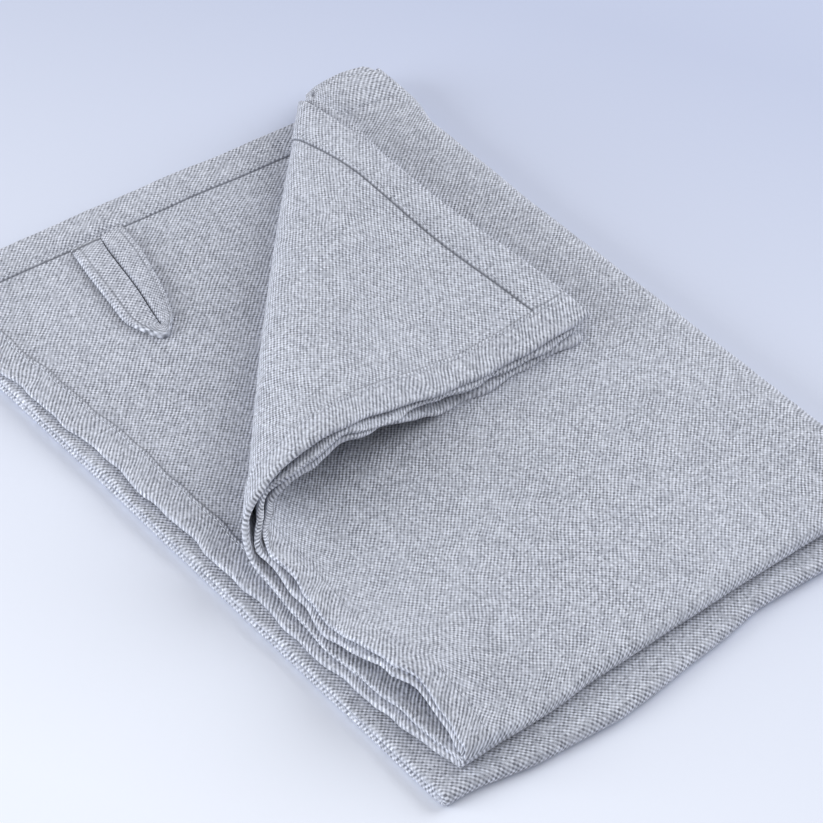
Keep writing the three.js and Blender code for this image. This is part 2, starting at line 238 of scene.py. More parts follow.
# Small gaps along the front hems: the gap's number, x, rise and half length.
FRONT_GAPS = (
    (4, 20, 0.4, 22), (4, 66, 0.5, 26), (4, 118, 0.4, 24), (4, 160, 0.3, 18), (4, 232, 0.9, 12),
    (5, 150, 0.4, 16), (5, 196, 0.3, 14), (5, 226, 0.5, 14),
    (6, 22, 0.3, 26), (6, 88, 0.9, 22), (6, 124, 1.5, 22), (6, 150, 1.6, 12), (6, 169, 1.0, 9),
    (6, 187, 0.7, 7),
    (7, 30, 0.5, 20), (7, 62, 2.6, 24), (7, 117, 1.8, 15), (7, 142, 1.4, 12), (7, 161, 1.0, 5),
    (7, 176, 1.3, 6), (7, 186, 0.9, 5),
)
GAP_REACH = 16.0

# Room for two turned hems that face each other, the gaps of the upper packet where they do, and
# the width over which that room ends.
HEM_ROOM = 0.42
HEM_ROOM_GAPS = (5, 7)
HEM_FADE = 6.0

# Openings and waves close towards the right fold, over this length.
FOLD_FADE = 14.0
GAPS_END = 243.0
WAVES_END = 240.0

# Waves of the front hems in the plane of each layer, by the layer's number from below: the
# length, phase and height of each.
HEM_WAVES = {
    3: ((46, 0.4, 0.35), (21, 2.0, 0.2)),
    4: ((38, 4.24, 0.5), (17, 0.3, 0.35), (9.5, 2.6, 0.12)),
    5: ((44, 2.0, 0.3), (19, 1.4, 0.2)),
    6: ((33, 0.2, 0.5), (15.5, 2.2, 0.35), (8.7, 1.0, 0.12)),
    7: ((29, 1.7, 0.55), (17.5, 0.9, 0.4), (9.1, 2.9, 0.12)),
}
WAVE_REACH = 15.0


def lifts(x, y, level):
    """How far cloth at the level is lifted by the openings below it."""
    rise = np.zeros_like(x)
    unfolded = np.clip((GAPS_END - x) / FOLD_FADE, 0.0, 1.0)

    def above(gap):
        return np.clip((level - (gap * PITCH - GAP / 2 - 0.05)) / 0.1, 0.0, 1.0)

    past_hems = np.minimum(x - WIDE_HEM, y - NARROW_HEM)
    hems = 1 - smooth(past_hems / HEM_FADE + 0.5)
    rise += HEM_ROOM * hems * unfolded * sum(above(gap) for gap in HEM_ROOM_GAPS)
    for gap, px, py, height, reach_x, reach_y in POCKETS:
        off = np.minimum(((x - px) / reach_x) ** 2 + ((y - py) / reach_y) ** 2, 1.0)
        rise += height * above(gap) * (1 - off) ** 2
    inwards = np.exp(-(np.maximum(y, 0) / GAP_REACH) ** 2) * unfolded
    for gap, px, height, half in FRONT_GAPS:
        off = np.minimum(((x - px) / half) ** 2, 1.0)
        rise += height * above(gap) * (1 - off) ** 2 * inwards
    return rise


def hem_wave(x, y, level):
    """Waviness of the front hems in the plane of the cloth."""
    layer = np.round((level - SHEET / 2) / PITCH)
    shift = np.zeros_like(x)
    for number, waves in HEM_WAVES.items():
        shift += np.where(layer == number, ripple(x, waves), 0.0)
    inwards = np.exp(-(np.maximum(y, 0) / WAVE_REACH) ** 2)
    return shift * inwards * np.clip((WAVES_END - x) / FOLD_FADE, 0.0, 1.0)


def turn_back(x, y, z, face, level):
    """Rolls the three top layers over at the corner, from the height of their lower face."""
    # e runs inwards from the corner, and f across it, along the roll.
    e = (x + y) / math.sqrt(2)
    f = (x - y) / math.sqrt(2)
    share = np.maximum((f - ROLL_ENDS[0]) / (ROLL_ENDS[1] - ROLL_ENDS[0]), 0.0) ** 2
    start = mix(*ROLL_STARTS, share)
    left = np.maximum(start - e, 0.0)
    rolled = (level > ROLL_FACE) & (left > 0)
    angle = np.zeros_like(e)
    along = np.zeros_like(e)
    up = np.zeros_like(e)
    for left_length, left_turn, front_length, front_turn in ROLL:
        length = mix(left_length, front_length, share)
        radius = length / np.radians(mix(left_turn, front_turn, share))
        following = angle + np.minimum(left, length) / radius
        along -= radius * (np.sin(following) - np.sin(angle))
        up -= radius * (np.cos(following) - np.cos(angle))
        angle = following
        left = np.maximum(left - length, 0.0)
    nearest = np.minimum(x - WIDE_HEM, y - NARROW_HEM)
    fuller = smooth((start - e) / FLAP_FADE) * smooth((LOFT_FROM - x) / FLAP_FADE)
    thick = (z - face) * (1 + FLAP_LOFT * fuller * (1 - smooth(nearest / FLAP_HEM_FADE)))
    along += thick * np.sin(angle) - left * np.cos(angle)
    up += thick * np.cos(angle) + left * np.sin(angle)
    return (
        np.where(rolled, (start + along + f) / math.sqrt(2), x),
        np.where(rolled, (start + along - f) / math.sqrt(2), y),
        np.where(rolled, face + up, z),
    )


# The gentle waviness of the whole packet: its share of the height, and the length, phase and
# height of its waves along and across. Nothing goes below the least height above the floor.
UNDULATION = 0.035
WAVES_ALONG = ((83, 0.4, 0.5), (57, 2.1, 0.3))
WAVES_ACROSS = ((71, 1.3, 0.45), (43, 0.2, 0.3))
LEAST_HEIGHT = 0.02


def cloth_point(u, v, w):
    """Metres in the frame, for points of the flat cloth in mm and heights through it."""
    level = fold_in_eight(u, v, np.zeros_like(u))[2]
    x, y, z = fold_in_eight(u, v, w)
    x, y = uneven_edges(x, y, level)
    y = y + hem_wave(x, y, level)
    thicker = np.where(level > LOWER_TOP, loft(x, y), 1.0)
    high = LOWER_TOP + (z - LOWER_TOP) * thicker + lifts(x, y, level)
    face = LOWER_TOP + (ROLL_FACE - LOWER_TOP) * thicker + lifts(x, y, np.full_like(x, ROLL_FACE))
    x, y, z = turn_back(x, y, high, face, level)
    px, py, push, reach, full = BULGE
    off = np.minimum(np.hypot(x - px, y - py) / reach, 1.0)
    x = x + push * (1 - off * off) ** 2 * np.clip(z / full, 0.0, 1.0)
    swell = ripple(x + 0.35 * y, WAVES_ALONG) + ripple(y - 0.5 * x, WAVES_ACROSS)
    z = np.maximum(z * (1 + UNDULATION * swell), LEAST_HEIGHT)
    return np.stack([x - ORIGIN[0], y - ORIGIN[1], z], axis=-1) * MM


# ---- Thickness of the cloth, its hems and stitch lines, mm ----
HALF_CLOTH = 0.375
HEM_STEP = 0.43
STEP_WIDTH = 0.4
RIGHT_SIDE_STEP = 0.18
SEW_INSET = 1.4
TROUGH_DEPTH = 0.14
TROUGH_WIDTH = 0.5
EDGE_ROUND = 0.7

# The hems fade out softly over this width: on the right side, and where they pucker.
SOFT_WIDTH = 5.0
SOFT_LONG, SOFT_SHORT = 11.0, 8.0
PUCKER_LONG, PUCKER_SHORT = 10.0, 7.0
PUCKERS_LONG = ((7.3, 0.5, 0.045), (11.9, 1.7, 0.04))
PUCKERS_SHORT = ((6.9, 2.5, 0.045), (12.7, 0.3, 0.04))

# The hem's rise over the ends of the loop: u, v, reach in u and v, and height. It fades over
# these widths towards the cloth, towards the edge, and lengthways.
LOOP_TUCK = (8.5, 55.0, 5.0, 11.5, 0.75)
TUCK_FADES = (3.0, 4.0, 2.5)


def edge_distances(u, v):
    """How far a flat place is from the nearer long edge and from the nearer short edge."""
    return np.minimum(u, TOWEL_WIDTH - u), np.minimum(v, TOWEL_LENGTH - v)


def surface_height(u, v, wrong_side):
    """Half the cloth's thickness on one side, with hems, stitch troughs and rounded edges."""
    long_side, short_side = edge_distances(u, v)
    hem = np.maximum(
        1 - smooth((long_side - WIDE_HEM + STEP_WIDTH) / STEP_WIDTH),
        1 - smooth((short_side - NARROW_HEM + STEP_WIDTH) / STEP_WIDTH),
    )
    soft_hem = np.maximum(
        1 - smooth((long_side - SOFT_LONG) / SOFT_WIDTH),
        1 - smooth((short_side - SOFT_SHORT) / SOFT_WIDTH),
    )
    pucker_long = ripple(v, PUCKERS_LONG) * (1 - smooth((long_side - PUCKER_LONG) / SOFT_WIDTH))
    pucker_short = ripple(u, PUCKERS_SHORT) * (1 - smooth((short_side - PUCKER_SHORT) / SOFT_WIDTH))
    trough = np.maximum(
        np.exp(-(((long_side - WIDE_HEM + SEW_INSET) / TROUGH_WIDTH) ** 2)),
        np.exp(-(((short_side - NARROW_HEM + SEW_INSET) / TROUGH_WIDTH) ** 2)),
    )
    if wrong_side:
        height = HALF_CLOTH + HEM_STEP * hem
        tuck_u, tuck_v, reach_u, reach_v, rise = LOOP_TUCK
        inwards, outwards, lengthways = TUCK_FADES
        near = np.clip((tuck_u + reach_u - u) / inwards, 0.0, 1.0)
        near = near * np.clip((u - tuck_u + reach_u) / outwards, 0.0, 1.0)
        near = near * np.clip((reach_v - np.abs(v - tuck_v)) / lengthways, 0.0, 1.0)
        height = height + rise * smooth(near) * hem
    else:
        height = HALF_CLOTH + RIGHT_SIDE_STEP * soft_hem
    height = height + pucker_long + pucker_short - TROUGH_DEPTH * trough
    edge = np.clip(np.minimum(long_side, short_side) / EDGE_ROUND, 0.0, 1.0)
    return height * np.sqrt(1 - (1 - edge) ** 2)


def spaced(first, last, spacing):
    """Places after the first up to the last, about as far apart as the spacing says."""
    count = max(1, round((last - first) / spacing))
    return list(np.linspace(first, last, count + 1)[1:])


def hem_lines(hem):
    """Cutting lines over a hem: its rounded edge, its body, its stitch line and its step."""
    sewn = hem - SEW_INSET
    edge = [0.0, 0.1, 0.3, EDGE_ROUND]
    body = spaced(EDGE_ROUND, sewn - 0.6, 2.4)
    return edge + body + [sewn, sewn + 0.6, hem - STEP_WIDTH, hem, hem + 1.0, hem + 2.6]


# Spacing of the cutting lines round the three folds and inside the packet, mm.
FIRST_FOLD_LINES = 0.35
SECOND_FOLD_LINES = 0.8
THIRD_FOLD_LINES = 1.2
HIDDEN_LINES = 14.0
NEAR_FOLD, NEAR_FOLD_LINES = 12, 3.0


def cutting_lines(fineness):
    """Lines across and along the flat cloth, close where it shows and wide where it doesn't."""
    across = hem_lines(WIDE_HEM)
    across += spaced(across[-1], SECOND_START, fineness)
    across += spaced(SECOND_START, TOWEL_WIDTH / 2, SECOND_FOLD_LINES)
    across += [TOWEL_WIDTH - place for place in reversed(across[:-1])]
    half = TOWEL_LENGTH / 2
    third_end = half - THIRD_START
    first_start = half - FIRST_START
    along = hem_lines(NARROW_HEM)
    along += spaced(along[-1], UPPER_DEPTH, fineness)
    along += spaced(UPPER_DEPTH, third_end, THIRD_FOLD_LINES)
    along += spaced(third_end, first_start - NEAR_FOLD, HIDDEN_LINES)
    along += spaced(first_start - NEAR_FOLD, first_start, NEAR_FOLD_LINES)
    along += spaced(first_start, half, FIRST_FOLD_LINES)
    along += [TOWEL_LENGTH - place for place in reversed(along[:-1])]
    return np.array(across), np.array(along)


def mesh_piece(name, points, faces):
    """A smooth-shaded piece from points in metres and faces that name them."""
    mesh = bpy.data.meshes.new(name)
    mesh.from_pydata([tuple(point) for point in points], [], faces)
    mesh.validate()
    piece = bpy.data.objects.new(name, mesh)
    bpy.context.scene.collection.objects.link(piece)
    mesh.shade_smooth()
    return piece


def set_flat_place(piece, places):
    """Stores each point's place on the flat cloth, in metres, as the piece's UV map."""
    layer = piece.data.uv_layers.new(name="flat_cloth")
    corners = np.empty(len(piece.data.loops), dtype=np.int32)
    piece.data.loops.foreach_get("vertex_index", corners)
    layer.data.foreach_set("uv", (places[corners] * MM).astype(np.float32).ravel())


def set_value(piece, name, values):
    """Stores one number for each point under a name that materials read."""
    attribute = piece.data.attributes.new(name, "FLOAT", "POINT")
    attribute.data.foreach_set("value", values.astype(np.float32))


def make_towel(sizes):
    """The folded cloth: both faces of the sheet, joined along its rounded edges."""
    across, along = cutting_lines(sizes.fineness)
    u, v = (grid.ravel() for grid in np.meshgrid(across, along, indexing="ij"))
    rows, columns = len(across), len(along)
    wrong = cloth_point(u, v, surface_height(u, v, True))
    right = cloth_point(u, v, -surface_height(u, v, False))
    index = np.arange(rows * columns).reshape(rows, columns)
    on_edge = np.zeros((rows, columns), dtype=bool)
    on_edge[[0, -1], :] = True
    on_edge[:, [0, -1]] = True
    inner = ~on_edge.ravel()
    under = index.ravel().copy()
    under[inner] = rows * columns + np.arange(inner.sum())
    under = under.reshape(rows, columns)
    top_quads = np.stack([index[:-1, :-1], index[1:, :-1], index[1:, 1:], index[:-1, 1:]], axis=-1)
    low_quads = np.stack([under[:-1, :-1], under[:-1, 1:], under[1:, 1:], under[1:, :-1]], axis=-1)
    faces = np.concatenate([top_quads.reshape(-1, 4), low_quads.reshape(-1, 4)]).tolist()
    towel = mesh_piece("towel_cloth", np.concatenate([wrong, right[inner]]), faces)
    places = np.stack([u, v], axis=1)
    set_flat_place(towel, np.concatenate([places, places[inner]]))
    set_value(towel, "wrong_side", np.concatenate([np.ones(len(u)), np.zeros(inner.sum())]))
    return towel


# ---- Stitches, mm ----
STITCH_LENGTH = 1.7
STITCH_PITCH = 2.3
STITCH_MARGIN = 1.5
THREAD_RADIUS = 0.15
THREAD_SIDES = 5

# A stitch's rings: place along it, and its width and how far it's raised, in thread radii. Its
# ends are sunk, and outwards is measured over a short way through the surface.
THREAD_RINGS = ((0.14, 0.75, 0.3), (0.5, 1.0, 0.75), (0.86, 0.75, 0.3))
SUNK_ENDS = 0.5
SHORT_WAY = 0.05


def stitch_mesh(starts, ends, outward):
    """One small thread capsule for each pair of ends, bowed outwards in the middle."""
    ahead = ends - starts
    length = np.linalg.norm(ahead, axis=1, keepdims=True)
    ahead = ahead / length
    side = np.cross(ahead, outward)
    side /= np.linalg.norm(side, axis=1, keepdims=True)
    up = np.cross(side, ahead)
    radius = THREAD_RADIUS * MM
    points = [starts - up * radius * SUNK_ENDS]
    for share, wide, raised in THREAD_RINGS:
        middle = starts + ahead * length * share + up * radius * raised
        for k in range(THREAD_SIDES):
            turn = 2 * math.pi * k / THREAD_SIDES
            points.append(middle + (side * math.cos(turn) + up * math.sin(turn)) * radius * wide)
    points.append(ends - up * radius * SUNK_ENDS)
    each = len(points)
    pattern = []
    for k in range(THREAD_SIDES):
        after = (k + 1) % THREAD_SIDES
        pattern.append((0, 1 + after, 1 + k))
        for ring in range(len(THREAD_RINGS) - 1):
            base = 1 + ring * THREAD_SIDES
            beyond = base + THREAD_SIDES
            pattern.append((base + k, base + after, beyond + after, beyond + k))
        last_ring = each - 1 - THREAD_SIDES
        pattern.append((last_ring + k, last_ring + after, each - 1))
    faces = [tuple(each * n + corner for corner in face) for n in range(len(starts)) for face in pattern]
    return np.stack(points, axis=1).reshape(-1, 3), faces


def hem_stitch_ends(wrong_side):
    """Flat start and end places of every stitch along the four hems."""
    ends = []
    for along_long, hem, span in ((True, WIDE_HEM, TOWEL_LENGTH), (False, NARROW_HEM, TOWEL_WIDTH)):
        sewn = hem - SEW_INSET
        width = TOWEL_WIDTH if along_long else TOWEL_LENGTH
        margin = NARROW_HEM if along_long else STITCH_MARGIN
        places = np.arange(margin, span - margin - STITCH_LENGTH, STITCH_PITCH)
        if not wrong_side:
            places = places + STITCH_PITCH / 2
        for line in (sewn, width - sewn):
            first = np.stack([np.full_like(places, line), places], axis=1)
            last = first + (0.0, STITCH_LENGTH)
            ends.append((first, last) if along_long else (first[:, ::-1], last[:, ::-1]))
    return tuple(np.concatenate(places) for places in zip(*ends))


def on_surface(places, wrong_side, above=0.0):
    """Points on one face of the folded cloth, or a little above it, for flat places."""
    u, v = places[:, 0], places[:, 1]
    height = surface_height(u, v, wrong_side) + above
    return cloth_point(u, v, height if wrong_side else -height)


def make_stitches():
    """The sewing thread of the hems, on both faces of the cloth."""
    points, faces = [], []
    total = 0
    for wrong_side in (True, False):
        first, last = hem_stitch_ends(wrong_side)
        middle = (first + last) / 2
        outward = on_surface(middle, wrong_side, SHORT_WAY) - on_surface(middle, wrong_side, -SHORT_WAY)
        starts, ends = on_surface(first, wrong_side), on_surface(last, wrong_side)
        made, made_faces = stitch_mesh(starts, ends, outward)
        faces += [tuple(total + corner for corner in face) for face in made_faces]
        points.append(made)
        total += len(made)
    points = np.concatenate(points)
    points[:, 2] = np.maximum(points[:, 2], LEAST_HEIGHT * MM)
    return mesh_piece("hem_stitching", points, faces)


# ---- The hanging loop, mm ----
LOOP_BASE = 6.25
LOOP_THICKNESS = 1.5
LOOP_ARCH = 0.9
LOOP_START, LOOP_SPAN = 12.9, 52.0
LOOP_WIDTH = 9.0
LOOP_LENGTH = 112.0

# Points across and along the tape, and the share of its width that its turned edge takes.
LOOP_ACROSS = 16
LOOP_ALONG = 110
EDGE_BAND = 0.24

# The tape's upper face: rise of its turned edge, dip of its sewn line, crown between its edges,
# and rise at its tip. At its ends it thins to a share of its thickness.
BAND_RISE = 0.2
SEWN_DIP = 0.16
CROWN_RISE = 0.12
TIP_RISE = 0.55
END_SHARE = 0.35


def distance_along(points):
    """How far each point is along the line through all of them."""
    return np.concatenate([[0], np.cumsum(np.linalg.norm(np.diff(points, axis=0), axis=1))])


def resampled(points, count):
    """Evenly spaced places along a smooth curve through the points."""
    padded = np.concatenate([2 * points[:1] - points[1:2], points, 2 * points[-1:] - points[-2:-1]])
    fine = []
    t = np.linspace(0, 1, 24, endpoint=False)[:, None]
    for a, b, c, d in zip(padded, padded[1:], padded[2:], padded[3:]):
        second, third = 2 * a - 5 * b + 4 * c - d, 3 * b - a - 3 * c + d
        fine.append(0.5 * (2 * b + (c - a) * t + second * t**2 + third * t**3))
    fine = np.concatenate([*fine, points[-1:]])
    travelled = distance_along(fine)
    wanted = np.linspace(0, travelled[-1], count)
    return np.stack([np.interp(wanted, travelled, fine[:, k]) for k in range(fine.shape[1])], axis=1)


def loop_edges():
    """The outer and inner edges of the tape, out along one leg and back along the other."""
    near, slit_near, slit_far, far = (LOOP_SECTIONS[:, [0, column]] for column in (1, 2, 3, 4))
    outer = np.concatenate([near, LOOP_TIP, far[::-1]])
    turn = np.tile(SLIT_END, (len(LOOP_TIP), 1))
    inner = np.concatenate([slit_near, turn, slit_far[::-1]])
    both = resampled(np.concatenate([outer, inner], axis=1), LOOP_ALONG)
    return both[:, :2], both[:, 2:]


def loop_height(share, lengthways):
    """Upper face of the tape above its lower one: rounded edges, a turned band, a sewn line."""
    band_start = 1 - EDGE_BAND
    rounded = np.sqrt(np.clip(1 - (2 * share - 1) ** 6, 0, 1))
    band = BAND_RISE * smooth((share - band_start) / 0.05)
    sewn = SEWN_DIP * np.exp(-(((share - band_start - 0.01) / 0.03) ** 2))
    crown = CROWN_RISE * np.sin(math.pi * np.clip(share / band_start, 0, 1))
    tip = TIP_RISE * np.exp(-(((lengthways - 0.5) / 0.05) ** 2))
    past_ends = smooth(np.minimum(lengthways, 1 - lengthways) / 0.07)
    full = LOOP_THICKNESS * mix(END_SHARE, 1.0, past_ends)
    return rounded * (full + (band - sewn + crown) * past_ends + tip * share)


def make_loop():
    """The hanging loop: a narrow tape turned to a point, its ends under the wide hem."""
    outer, inner = loop_edges()
    shares = 0.5 - 0.5 * np.cos(np.linspace(0, math.pi, LOOP_ACROSS + 1))
    lengthways = np.linspace(0, 1, LOOP_ALONG)
    share, along = np.meshgrid(shares, lengthways)
    plan = inner[:, None, :] + (outer - inner)[:, None, :] * share[:, :, None]
    along_arch = np.clip((plan[:, :, 0] - LOOP_START) / LOOP_SPAN, 0, 1)
    low = LOOP_BASE + LOOP_ARCH * np.sin(math.pi * along_arch)
    high = low + loop_height(share, along)
    travelled = np.repeat(distance_along((outer + inner) / 2)[:, None], LOOP_ACROSS + 1, axis=1)
    places = np.stack([share * LOOP_WIDTH, travelled], axis=-1).reshape(-1, 2)
    rows, columns = share.shape

    def placed(z):
        return np.concatenate([plan - ORIGIN, z[:, :, None]], axis=-1).reshape(-1, 3) * MM

    index = np.arange(rows * columns).reshape(rows, columns)
    under = index + rows * columns
    under[:, [0, -1]] = index[:, [0, -1]]
    faces = []
    for i in range(rows - 1):
        for j in range(columns - 1):
            faces.append((index[i, j], index[i, j + 1], index[i + 1, j + 1], index[i + 1, j]))
            faces.append((under[i, j], under[i + 1, j], under[i + 1, j + 1], under[i, j + 1]))
    for i, turned in ((0, False), (rows - 1, True)):
        for j in range(columns - 1):
            # At the tape's edges both faces share a point, so a corner may come twice.
            ring = tuple(dict.fromkeys([index[i, j], under[i, j], under[i, j + 1], index[i, j + 1]]))
            faces.append(ring[::-1] if turned else ring)
    points = np.concatenate([placed(high), placed(low)])
    used = sorted({corner for face in faces for corner in face})
    renumber = {old: new for new, old in enumerate(used)}
    faces = [tuple(renumber[corner] for corner in face) for face in faces]
    piece = mesh_piece("loop_tape", points[used], faces)
    set_flat_place(piece, np.concatenate([places, places])[used])
    set_value(piece, "wrong_side", np.zeros(len(used)))
    return piece


# ---- Shader maths ----
class Wired:
    """A shader socket that can be used in plain expressions."""

    def __init__(self, nodes, socket):
        self.nodes = nodes
        self.socket = socket

    def maths(self, operation, *others, **settings):
        return self.nodes.maths(operation, self, *others, **settings)

    def __add__(self, other):
        return self.maths("ADD", other)

    __radd__ = __add__

    def __sub__(self, other):
        return self.maths("SUBTRACT", other)

    def __rsub__(self, other):
        return self.nodes.maths("SUBTRACT", other, self)

    def __mul__(self, other):
        return self.maths("MULTIPLY", other)

    __rmul__ = __mul__

    def __truediv__(self, other):
        return self.maths("DIVIDE", other)

    def floor(self):
        return self.maths("FLOOR")

    def cosine(self):
        return self.maths("COSINE")

    def at_least(self, other):
        return self.maths("MAXIMUM", other)

    def at_most(self, other):
        return self.maths("MINIMUM", other)

    def over(self, other):
        return self.maths("GREATER_THAN", other)

    def clamped(self):
        return self.maths("ADD", 0.0, use_clamp=True)


class Outputs:
    """The outputs of one node, by name or number."""

    def __init__(self, nodes, node):
        self.nodes = nodes
        self.node = node

    def __getitem__(self, name):
        return Wired(self.nodes, self.node.outputs[name])


class Nodes:
    """One material's node tree."""

    def __init__(self, name):
        self.material = bpy.data.materials.new(name)
        self.material.use_nodes = True
        self.tree = self.material.node_tree
        self.tree.nodes.clear()

    def add(self, kind, settings, inputs):
        """Adds a node: its settings come first, then its sockets by name or number."""
        node = self.tree.nodes.new(kind)
        for key, value in settings.items():
            setattr(node, key, value)
        for key, value in inputs.items():
            if isinstance(value, Wired):
                self.tree.links.new(value.socket, node.inputs[key])
            else:
                node.inputs[key].default_value = value
        return Outputs(self, node)

    def maths(self, operation, *values, **settings):
        """A Math node on links or numbers."""
        made = self.add("ShaderNodeMath", {"operation": operation, **settings}, dict(enumerate(values)))
        return made["Value"]

    def blend(self, share, first, last):
        """From the first colour to the last, by their sockets' numbers on the Mix node."""
        return self.add("ShaderNodeMix", {"data_type": "RGBA"}, {0: share, 6: first, 7: last})[2]

    def noise(self, place, scale, detail):
        """Soft noise about a half, at places that may be links."""
        inputs = {"Vector": place, "Scale": scale, "Detail": detail}
        return self.add("ShaderNodeTexNoise", {}, inputs)["Fac"]

    def place(self, x, y, z=0.0):
        """A vector from links or numbers."""
        return self.add("ShaderNodeCombineXYZ", {}, {"X": x, "Y": y, "Z": z})["Vector"]

    def object_place(self):
        return self.add("ShaderNodeTexCoord", {}, {})["Object"]

    def split(self, vector):
        return self.add("ShaderNodeSeparateXYZ", {}, {"Vector": vector})

    def shade(self, colour, roughness, relief, depth, sheen=0.0):
        """Joins a colour, a roughness and a relief of the given depth in one dull surface."""
        bump = self.add("ShaderNodeBump", {}, {"Strength": 1.0, "Distance": depth, "Height": relief})
        shader = self.add("ShaderNodeBsdfPrincipled", {}, {
            "Base Color": colour,
            "Roughness": roughness,
            "Sheen Weight": sheen,
            "Specular IOR Level": 0.25,
            "Normal": bump["Normal"],
        })
        self.add("ShaderNodeOutputMaterial", {}, {"Surface": shader["BSDF"]})
        return self.material


def four(colour):
    """A colour with its alpha."""
    return (*tuple(colour)[:3], 1.0)


def inside(place, edge, width):
    """One inside an edge, nought outside it, with a soft change of the given width."""
    return ((edge - place) / width + 0.5).clamped()


def soft_line(place, at, half_width):
    """A soft line where a place passes a value."""
    off = (place - at) / half_width
    return (1.0 - off * off).clamped()


# ---- Linen ----
# Threads lie a little further apart than the pitch says, across and along the cloth.
PITCH_ACROSS, PITCH_ALONG = 1.02, 1.06

# Noise scales, in waves per thread: threads wander, patches differ, threads thicken, yarn shades.
WANDER_SCALE = 0.07
PATCH_SCALE, PATCH_CHANGE = 0.13, 1.2
SLUB_SCALE = 0.11
YARN_SCALE, YARN_CONTRAST = 0.05, 1.6
RIB_HEIGHT = 0.75

# Flecks: scale per thread, thresholds for light and dark ones, sharpness and strength.
FLECK_SCALE = 0.9
LIGHT_FLECKS_OVER, DARK_FLECKS_UNDER = 0.72, 0.27
FLECK_EDGE, FLECK_STRENGTH = 12.0, 0.6

# Washed patches: scale per metre, how much they vary, and their usual share.
WASH_SCALE, WASH_CHANGE, WASH_SHARE = 22.0, 0.35, 0.12

# Painted shade along the hems' steps and stitch troughs, mm: half widths, how far past the hem
# the step's painted shade runs, how dark the painted shade is, and the narrow hem's share of that.
WIDE_STEP_LINE, HEM_LINE = 0.5, 0.4
STEP_OFFSET = 0.2
STEP_PAINTED_SHADE, SEWN_PAINTED_SHADE = 0.85, 0.45
NARROW_STEP_SHADE_SHARE, NARROW_SEWN_SHADE_SHARE = 0.5, 0.7

# The narrow hem is more ribbed, and begins over this width, mm.
NARROW_RIBBED, NARROW_FADE = 0.85, 0.6

# Painted shade on the tape: place and half width, mm, and darkness of the painted shade at its ends,
# where the hem's step runs over it, and place across it of the painted shade along its sewn line.
TAPE_END_LINE, TAPE_END_WIDTH, TAPE_END_PAINTED_SHADE = 1.1, 0.8, 0.9
TAPE_SEWN_LINE = 6.8

# Grain of the thread and the floor: scale per metre and relief in metres.
THREAD_GRAIN, THREAD_RELIEF = 900.0, 0.00005
FLOOR_GRAIN, FLOOR_RELIEF = 420.0, 0.00003

# The painted light on the floor falls off mainly this way, from its front right to its back left.
AWAY_X, AWAY_Y = -0.78, 0.626


def woven(nodes, u, v, finish, ribbed=0.0, slant=1.0):
    """Height and colour of a plain weave with painted shade in its hollows, for flat places in threads.

    Where it's ribbed, the crossings lean into ribs that run one way for a slant of 1 and the
    other way for -1.
    """
    drift = nodes.noise(nodes.place(u * WANDER_SCALE, v * WANDER_SCALE), 1.0, 2.5)
    wander = nodes.noise(nodes.place(u * WANDER_SCALE + 31.0, v * WANDER_SCALE), 1.0, 2.5)
    s = u + (drift - 0.5) * finish.waviness
    t = v + (wander - 0.5) * finish.waviness
    thread_s, thread_t = s.floor(), t.floor()
    crossing = ((s - 0.5) * math.pi).cosine() * ((t - 0.5) * math.pi).cosine()
    ribs = ((s + t * slant) * math.pi).cosine() * (slant * -1.0)
    crossing = crossing + (ribs * RIB_HEIGHT - crossing) * ribbed
    patch = nodes.noise(nodes.place(u * PATCH_SCALE, v * PATCH_SCALE, 5.0), 1.0, 3.0)
    relief = crossing * (finish.contrast + (patch - 0.5) * PATCH_CHANGE)
    warp_slub = nodes.noise(nodes.place(thread_s * 7.31, t * SLUB_SCALE, 1.0), 1.0, 2.0)
    weft_slub = nodes.noise(nodes.place(s * SLUB_SCALE, thread_t * 5.77, 9.0), 1.0, 2.0)
    thick = (warp_slub + weft_slub - 1.0) * finish.slubs
    each_crossing = {"Vector": nodes.place(thread_s, thread_t)}
    tone = nodes.add("ShaderNodeTexWhiteNoise", {"noise_dimensions": "2D"}, each_crossing)["Value"]
    height = (0.5 + relief * 0.5 + thick + (tone - 0.5) * finish.speckle).clamped()
    warp_tone = nodes.noise(nodes.place(thread_s * 3.7, t * YARN_SCALE, 4.0), 1.0, 3.0)
    weft_tone = nodes.noise(nodes.place(s * YARN_SCALE, thread_t * 4.3, 14.0), 1.0, 3.0)
    yarn_share = ((warp_tone + weft_tone - 1.0) * YARN_CONTRAST + 0.5).clamped()
    yarn = nodes.blend(yarn_share, four(finish.yarn_dark), four(finish.yarn_light))
    # Painted shade: the lower a place in the weave, the more it takes the dark hollow colour.
    return height, nodes.blend(height, four(finish.painted_shade_colour), yarn)


def in_threads(u_place, v_place, finish):
    """Flat places in metres, counted in threads."""
    return (
        u_place / (finish.thread_pitch * PITCH_ACROSS),
        v_place / (finish.thread_pitch * PITCH_ALONG),
    )


